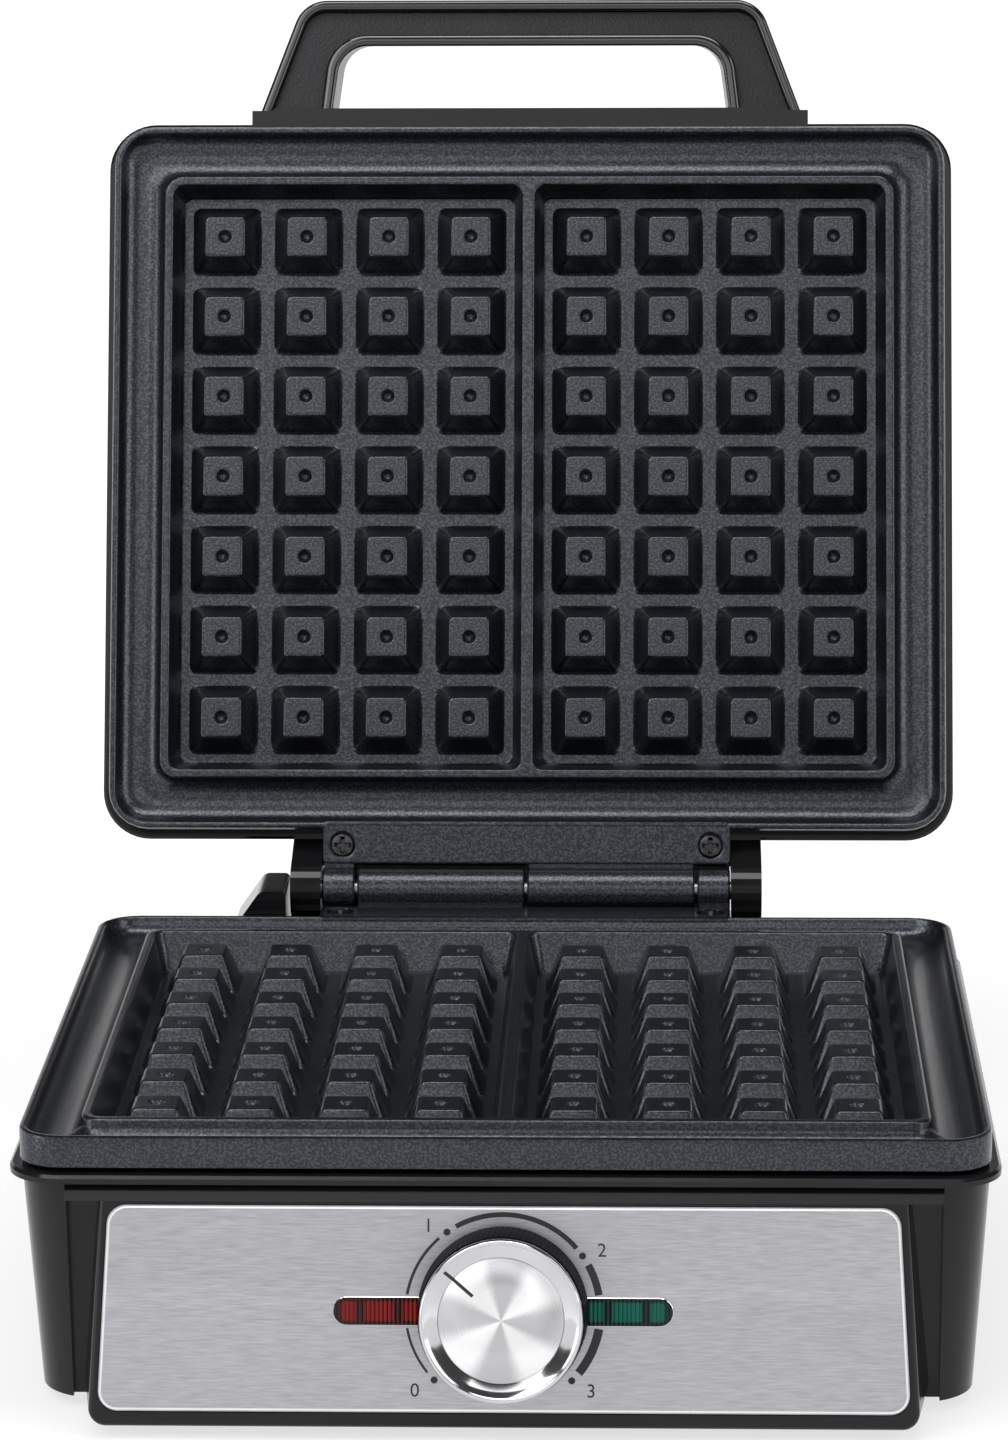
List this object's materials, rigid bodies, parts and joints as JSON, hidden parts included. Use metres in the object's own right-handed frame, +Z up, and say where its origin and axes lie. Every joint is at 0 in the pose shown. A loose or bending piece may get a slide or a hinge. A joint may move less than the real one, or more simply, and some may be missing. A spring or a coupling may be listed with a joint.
{
  "type": "waffle maker",
  "caption": "Twin waffle iron standing open: black housing, studded non-stick plates, loop handle, sloped brushed panel with a turning heat knob and two signal windows.",
  "frame": {"origin": "on the table, under the middle of the lower waffle plate", "axes": "+X to the user's right, +Y to the hinge side, +Z up"},
  "size_m": [0.2372, 0.3518, 0.3111],
  "materials": {
    "gloss_black": "glossy moulded",
    "matte_black": "fine matte",
    "textured_black": "fine grain texture",
    "coated_casting": "dark non-stick coating",
    "brushed_panel": "brushed across",
    "spun_metal": "spun in circles",
    "chrome_trim": "polished",
    "red_lens": "clear red, ribbed",
    "green_lens": "clear green, ribbed",
    "lamp_glass": "clear",
    "zinc_steel": "zinc plated",
    "dark_steel": "blackened",
    "heater_sheath": "heat stained",
    "bright_sheet": "bright sheet",
    "ceramic_block": "unglazed",
    "black_rubber": "soft matte"
  },
  "bodies": {
    "base": {"base_housing": "gloss_black", "bottom_cover": "matte_black", "cover_screws": "zinc_steel", "rubber_feet": "black_rubber", "control_panel": "brushed_panel", "power_lens": "red_lens", "ready_lens": "green_lens", "indicator_lamps": "lamp_glass", "thermostat_bracket": "zinc_steel", "thermostat_body": "ceramic_block", "cord_gland": "matte_black", "terminal_block": "ceramic_block", "lower_plate": "coated_casting", "lower_plate_screws": "dark_steel", "lower_element": "heater_sheath", "lower_reflector": "bright_sheet", "lower_fuse": "ceramic_block", "hinge_pin": "zinc_steel"},
    "lid": {"lid_housing": "gloss_black", "upper_plate": "coated_casting", "upper_plate_screws": "dark_steel", "upper_element": "heater_sheath", "upper_reflector": "bright_sheet", "upper_fuse": "ceramic_block", "handle": "matte_black", "handle_insert": "textured_black", "handle_screws": "zinc_steel"},
    "knob": {"knob_skirt": "matte_black", "knob_rim": "chrome_trim", "knob_face": "spun_metal", "knob_ring": "zinc_steel", "thermostat_shaft": "zinc_steel"}
  },
  "joints": [
    {"name": "lid_hinge", "type": "hinge", "parent": "base", "child": "lid", "pos_m": [0, 0.1155, 0.07425], "axis": [1, 0, 0], "range_deg": [0, 107.9]},
    {"name": "knob_turn", "type": "hinge", "parent": "base", "child": "knob", "pos_m": [0, -0.10517, 0.03068], "axis": [0, -0.9781, 0.2079], "range_deg": [-184, 86]}
  ]
}
